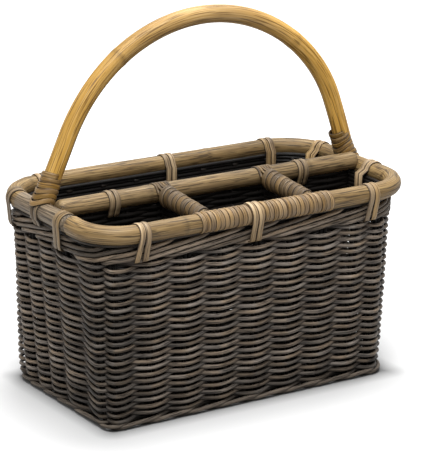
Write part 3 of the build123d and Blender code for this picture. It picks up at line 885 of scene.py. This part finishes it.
divider_radius = 0.0071
divider_foot = Vector((0.0, -rim_w, rim_height))
divider_head = Vector((0.0, middle_y, middle_height))
divider_along = (divider_head - divider_foot).normalized()
for side, name in ((-1, "left_divider"), (1, "right_divider")):
    shift = rightward * (side * divider_x)
    foot = divider_foot + divider_along * 0.0085 + shift
    run = dense_line(foot, divider_head - divider_along * 0.0075 + shift)
    divider = pole_strand(run, divider_radius, (), tone=0.4)
    place_strands(name, [divider], rim_rattan, "rim", name + "_rail", bevel=4)

# %% [markdown]
# ## Handle
# One pole is bent into a hoop. Its legs are straight and lean out to feet that stand on the rim, so
# the path is two lines that touch an arc. A bend by hand is never even: the right shoulder is a
# little fuller, the left foot stands a little further back, and the colour changes along the pole.

# %% Handle
hoop_height = handle_height - handle_radius
foot_drop = hoop_height - rim_height
shoulder_out, top_lift, left_foot_out, left_foot_back = 0.0050, 0.0022, 0.0015, 0.0028
leg_angle = math.acos(handle_radius / math.hypot(rim_l, foot_drop)) - math.atan2(foot_drop, rim_l)


def hoop_point(angle):
    """A point of the hoop's arc."""
    x, z = handle_radius * math.cos(angle), handle_radius * math.sin(angle)
    return Vector((x, handle_y, hoop_height + z))


leg_top, leg_foot = hoop_point(leg_angle), Vector((rim_l, handle_y, rim_height))
leg_up = (leg_top - leg_foot).normalized()
right_leg = dense_line(leg_foot + leg_up * 0.0070, leg_top)
arc_count, arc_turn = 90, math.pi - 2 * leg_angle
hoop = [hoop_point(leg_angle + arc_turn * number / arc_count) for number in range(1, arc_count)]
left_leg = [Vector((-point.x, point.y, point.z)) for point in reversed(right_leg)]
handle_path = right_leg + hoop + left_leg
for point in handle_path:
    height_share = (point.z - rim_height) / (handle_height - rim_height)
    fullness = max(0.0, math.sin(math.pi * min(1.0, height_share * 0.8 + 0.02)))
    point.x += shoulder_out * fullness * max(0.0, 0.35 + 0.65 * point.x / handle_radius)
    point.z += top_lift * height_share
    if point.x < 0.0:
        point.x -= left_foot_out * (1.0 - height_share) ** 2
        point.y += left_foot_back * (1.0 - height_share) ** 2
tone_places = (0.0, 0.2, 0.35, 0.5, 0.62, 0.8, 0.95)
tone_shifts = (0.20, 0.24, 0.15, -0.05, -0.20, -0.10, 0.06)
warm_places = (0.0, 0.25, 0.45, 0.6, 0.75, 1.0)
warm_levels = (0.60, 0.60, 0.48, 0.52, 0.59, 0.60)
handle_strand = pole_strand(
    handle_path, pole_radius * 1.02, (0.135, 0.331), tone=0.5,
    warm=lambda share: float(np.interp(share, warm_places, warm_levels)),
    shade=lambda share: float(np.interp(share, tone_places, tone_shifts)),
)
place_strands("hoop_handle", [handle_strand], handle_rattan, "handle", "handle", bevel=6)

# %% [markdown]
# ## Flat cane
# Cane is the skin of the vine, split into flat strips that are slightly crowned outside. A strip is
# grown step by step: a small loop of edges is extruded, and each new loop is moved to the next
# place on its path, facing away from what it lies on.

# %% Strip helper
cane_thickness = 0.0011
cane_profile = (
    (-0.5, 0.0), (0.5, 0.0), (0.5, 0.4), (0.42, 0.8),
    (0.2, 1.0), (-0.2, 1.0), (-0.42, 0.8), (-0.5, 0.4),
)
strip_values = ("tone", "warm", "crown")


def lay_strip(shape, frames, width, tone, warm):
    """Grow a flat strip through frames of (point, out, across, share of the width)."""
    grain = shape.verts.layers.float_vector["grain"]
    tones, warms, crowns = (shape.verts.layers.float[label] for label in strip_values)
    offset = chance.uniform(0.0, 9.0)
    travelled = 0.0
    before = None
    for point, out, across, share in frames:
        spots = [
            point + across * (w * width * share) + out * (h * cane_thickness)
            for w, h in cane_profile
        ]
        if before is None:
            ring = [shape.verts.new(spot) for spot in spots]
            loop = [shape.edges.new(pair) for pair in zip(ring, ring[1:] + ring[:1])]
        else:
            travelled += (point - before).length
            grown = bmesh.ops.extrude_edge_only(shape, edges=loop)["geom"]
            loop = [item for item in grown if isinstance(item, bmesh.types.BMEdge)]
            fresh = {vert for edge in loop for vert in edge.verts}
            ordered = []
            for old in ring:
                beyond = [edge.other_vert(old) for edge in old.link_edges]
                ordered += [vert for vert in beyond if vert in fresh]
            ring = ordered
            for vert, spot in zip(ring, spots):
                vert.co = spot
            loop = [edge for edge in loop if edge.verts[0] in fresh and edge.verts[1] in fresh]
        drift = 0.10 * math.sin(61.0 * travelled + offset) + 0.08 * math.sin(143.0 * travelled)
        for vert, (w, h) in zip(ring, cane_profile):
            vert[grain] = (offset + travelled, w * width, h * cane_thickness)
            vert[tones] = tone + drift
            vert[warms] = warm + 0.08 * math.sin(47.0 * travelled + 2.0 * offset)
            # A low crown at the strip's edges and underside paints shade into the grooves between
            # turns.
            vert[crowns] = 3.2 * h - 2.4
        before = point


def place_strips(name, strips, widths, warm, finish, slot, replaced):
    """Lay strips into one piece and close their ends. The last width serves all further strips."""
    shape = bmesh.new()
    shape.verts.layers.float_vector.new("grain")
    for label in strip_values:
        shape.verts.layers.float.new(label)
    for number, (frames, tone) in enumerate(strips):
        lay_strip(shape, frames, widths[min(number, len(widths) - 1)], tone, warm)
    close_and_smooth(shape, lambda face: len(face.verts) == 4)
    mesh = bpy.data.meshes.new(name)
    shape.to_mesh(mesh)
    shape.free()
    place_piece(name, mesh, finish, slot, replaced)


# %% [markdown]
# ## Windings
# Cane is wound turn beside turn round the front of the rim, over both divider rails and round the
# feet of the handle, where it spreads over the rim. At the head of each divider a few lengths of
# cane go over the middle rail and are bound down by the turns.

# %% Windings


def winding(start, axis, first_side, radius, pitch, turns, flare=0.0, saddle=0.0, steps=20):
    """Frames of a helix round an axis. Its start may be wide and sag on the sides like a saddle."""
    axis = axis.normalized()
    next_side = axis.cross(first_side)
    frames = []
    for step in range(turns * steps + 1):
        angle = 2 * math.pi * step / steps
        out = first_side * math.cos(angle) + next_side * math.sin(angle)
        share = step / (turns * steps)
        wide = radius + flare * (1.0 - share) ** 2
        sag = saddle * (1.0 - share) ** 1.5 * math.sin(angle) ** 2
        wobble = 0.00012 * math.sin(2.7 * angle) + 0.0001 * math.sin(0.37 * angle)
        point = start + axis * (pitch * step / steps - sag) + out * (wide + wobble)
        frames.append((point, out, axis, 1.0))
    return frames


def head_strip(head, beside):
    """Frames of a strip that goes over the middle rail and along the top of a divider."""
    rail_seat, divider_seat = pole_radius + 0.0001, 0.0072
    lift = math.sqrt(divider_seat**2 - beside**2)
    first, last = -55.0, 180.0 - math.degrees(math.asin(min(1.0, lift / rail_seat)))
    frames = []
    for number in range(11):
        angle = math.radians(first + (last - first) * number / 10)
        out = Vector((0.0, math.cos(angle), math.sin(angle)))
        spot = head + rightward * beside + out * rail_seat
        frames.append((spot, out, rightward, 0.6 if number == 0 else 1.0))
    out = (rightward * beside + rightward.cross(divider_along) * lift).normalized()
    for ahead in (0.0095, 0.0130, 0.0165):
        spot = head - divider_along * ahead + out * divider_seat
        frames.append((spot, out, divider_along.cross(out), 1.0))
    return frames


front_start = Vector((-0.0675, -rim_w, rim_height))
turns = winding(front_start, rightward, backward, pole_radius + 0.0001, pitch=0.0046, turns=30)
place_strips("rim_winding", [(turns, 0.56)], (0.0044,), 0.58, wound_cane, "cane", "rim_wrap")

for side, name in ((-1, "left"), (1, "right")):
    head = divider_head + rightward * (side * divider_x)
    start = head - divider_along * 0.0108
    turns = winding(
        start, -divider_along, -upward, 0.0073, pitch=0.0065, turns=9, flare=0.0014
    )
    strips = [(turns, 0.07)]
    strips += [(head_strip(head, 0.0027 * number - 0.0068), 0.05) for number in range(6)]
    place_strips(
        name + "_divider_winding", strips, (0.0063, 0.0027), 0.60,
        wound_cane, "cane", name + "_divider_wrap",
    )
    up = Vector((side * leg_up.x, leg_up.y, leg_up.z))
    foot = Vector((side * rim_l, handle_y, rim_height))
    if side < 0:
        foot += Vector((-0.0013, 0.0025, 0.0))
    turns = winding(
        foot + up * 0.0072, up, -backward, pole_radius + 0.0002,
        pitch=0.0042, turns=6, flare=0.0022, saddle=0.0080,
    )
    place_strips(
        name + "_foot_winding", [(turns, 0.45)], (0.0050,), 0.75,
        wound_cane, "cane", name + "_handle_wrap",
    )

# %% [markdown]
# ## Lashings
# Doubled straps of cane tie the rim to the border under it, and the middle rail to its partition.
# Each strap comes up inside, goes over the pole and down outside, and its narrow end is tucked in.

# %% Lashings
strap_width, strap_beside, strap_warm = 0.0055, 0.0030, 0.52
lash_low, border_half = 0.1525, 0.0068


def strap_frames(place, out, seat, pole_height, inner, outer, low, lean):
    """Frames of one strap: up the inside, round the pole and down the outside."""
    across = out.cross(upward)
    under = pole_height - 0.007
    path = [
        (-inner + 0.003, low - 0.002, 0.4),
        (-inner, low + 0.001, 0.8),
        (-inner, min(low + 0.010, under), 1.0),
        (-max(seat, inner) * 0.98, pole_height - 0.002, 1.0),
    ]
    for number in range(9):
        angle = math.radians(170 - 20 * number)
        path.append((seat * math.cos(angle), pole_height + seat * math.sin(angle), 1.0))
    path += [
        (seat * 0.99, pole_height - 0.002, 1.0),
        (seat * 0.9, pole_height - 0.006, 1.0),
        (outer + (seat * 0.9 - outer) * 0.45, min(low + 0.009, under), 1.0),
        (outer, low + 0.002, 1.0),
        (outer - 0.001, low - 0.0010, 0.95),
        (outer - 0.005, low - 0.0024, 0.7),
    ]
    frames = []
    befores, afters = path[:1] + path, path[1:] + path[-1:]
    for before, (sideways, height, share), after in zip(befores, path, afters):
        facing = Vector((before[1] - after[1], after[0] - before[0])).normalized()
        facing_out = out * facing.x + upward * facing.y
        drift = lean * (pole_height - height) / 0.03 if sideways > 0 else 0.0
        spot = place + out * sideways + across * drift
        frames.append((Vector((spot.x, spot.y, height)), facing_out, across, share))
    return frames


def doubled_strap(place, out, seat, pole_height, inner, outer, low, leans, darker=0.0):
    """Two straps side by side, in cane that may be darker than the rest."""
    across = out.cross(upward)
    straps = []
    for beside, lean in zip((-strap_beside, strap_beside), leans):
        start = place + across * beside
        frames = strap_frames(start, out, seat, pole_height, inner, outer, low, lean)
        straps.append((frames, chance.uniform(0.42, 0.62) - darker))
    return straps


def rim_lash(x, y, out, inset, leans=(0.0, 0.0), wrapped=False, low=lash_low, darker=0.0):
    """A lashing over the rim at a place on its centreline."""
    seat = pole_radius + (0.0014 if wrapped else 0.0002)
    inner, outer = inset + border_half, 0.0018 + border_half - inset
    place = Vector((x, y, 0.0))
    return doubled_strap(place, out, seat, rim_height, inner, outer, low, leans, darker)


def place_straps(name, straps, replaced):
    """Put the lashings of one side into the scene."""
    place_strips(name, straps, (strap_width,), strap_warm, lashing_cane, "lashing", replaced)


half_length, half_width, bends = wall_at(lash_low)
front_row = (
    (-0.1235, (-0.0004, 0.0026), False),
    (-0.0110, (-0.0032, -0.0024), True),
    (0.1140, (-0.0012, 0.0006), False),
)
back_row = (
    (-0.121, (0.001, -0.001), False),
    (0.0104, (0.0005, 0.0), False),
    (0.121, (0.001, -0.001), False),
)
for name, side, row in (("front", -1, front_row), ("back", 1, back_row)):
    inset = rim_w - half_width - side * wall_middle.y
    straps = []
    for x, leans, wrapped in row:
        straps += rim_lash(x, side * rim_w, backward * side, inset, leans, wrapped)
    place_straps(name + "_straps", straps, name + "_lashings")

# %% [markdown]
# On each short side one lashing ties the rim before the handle, one stands at the handle's foot,
# and one sits where the rim begins to turn into the back. Those on the left are darker.

# %% Side and rail lashings
lash_turn = math.radians(13.0)
for side, name, rim_bend, wall_bend, darker in (
    (-1, "left", back_left, bends[0], 0.25),
    (1, "right", rim_corner, bends[3], 0.0),
):
    outward = rightward * side
    inset = rim_l - half_length - side * wall_middle.x
    leans = (-side * 0.0035, -side * 0.0035)
    straps = rim_lash(side * rim_l, -0.0262, outward, inset, leans, darker=darker)
    straps += rim_lash(side * rim_l, 0.0120, outward, inset, low=0.1645, darker=darker)
    out = Vector((side * math.cos(lash_turn), math.sin(lash_turn), 0.0))
    gap_x = rim_l - rim_bend - (half_length - wall_bend) - side * wall_middle.x
    gap_y = rim_w - rim_bend - (half_width - wall_bend) - wall_middle.y
    inset = gap_x * abs(out.x) + gap_y * out.y + rim_bend - wall_bend
    lash_x = side * (rim_l - rim_bend) + out.x * rim_bend
    lash_y = rim_w - rim_bend + out.y * rim_bend
    straps += rim_lash(lash_x, lash_y, out, inset, darker=darker)
    place_straps(name + "_straps", straps, name + "_lashings")

rail_low, rail_hang, level = 0.1688, 0.0060, (0.0, 0.0)
straps = []
for x in (-0.1045, 0.0940):
    straps += doubled_strap(
        Vector((x, middle_y, 0.0)), -backward, pole_radius + 0.0002, middle_height,
        rail_hang, rail_hang, rail_low, level, darker=0.20,
    )
place_straps("rail_straps", straps, "middle_rail_lashings")
